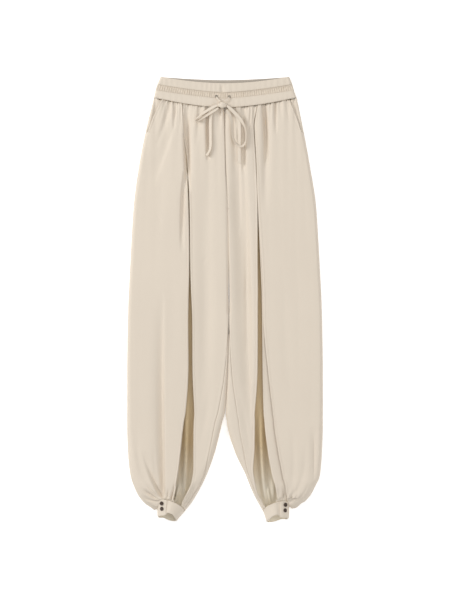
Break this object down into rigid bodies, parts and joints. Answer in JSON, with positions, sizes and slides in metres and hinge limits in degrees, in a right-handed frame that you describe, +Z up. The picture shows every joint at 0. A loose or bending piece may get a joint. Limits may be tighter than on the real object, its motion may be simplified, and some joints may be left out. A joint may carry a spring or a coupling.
{
  "type": "drawstring trousers",
  "caption": "Cream balloon-leg trousers laid flat: elasticated drawstring waist with a tied bow, slant pockets, open slits down the fronts and buttoned ankle cuffs.",
  "frame": {"origin": "centre of the laid-out garment in plan, on the surface that it lies on", "axes": "+Z up out of the surface, +Y from the cuffs to the waist, +X to the right of a viewer who looks down on the front of the garment with the waist at the top"},
  "size_m": [0.458, 1.048, 0.0399],
  "materials": {
    "trouser_cloth": "smooth, fine twill with a slight lustre",
    "waistband_cloth": "the same twill, gathered on elastic",
    "tie_cloth": "the same twill, pressed into flat ties",
    "button_plastic": "polished dark brown resin"
  },
  "bodies": {
    "root": {"back_left": "trouser_cloth", "back_right": "trouser_cloth", "front_side_left": "trouser_cloth", "front_side_right": "trouser_cloth", "front_centre_left": "trouser_cloth", "front_centre_right": "trouser_cloth", "pocket_facing_left": "trouser_cloth", "pocket_facing_right": "trouser_cloth", "slit_facing_right": "trouser_cloth", "cuff_left": "trouser_cloth", "cuff_right": "trouser_cloth", "band_top_front": "waistband_cloth", "band_top_back": "waistband_cloth", "band_shirred_front": "waistband_cloth", "band_shirred_back": "waistband_cloth", "band_tunnel_front": "waistband_cloth", "band_tunnel_back": "waistband_cloth", "knot": "tie_cloth", "tie_loop_left": "tie_cloth", "tie_loop_right": "tie_cloth", "tie_tail_left": "tie_cloth", "tie_tail_right": "tie_cloth", "tie_lead_left": "tie_cloth", "tie_lead_right": "tie_cloth", "button_left_upper": "button_plastic", "button_left_lower": "button_plastic", "button_right_upper": "button_plastic", "button_right_lower": "button_plastic"}
  },
  "joints": []
}
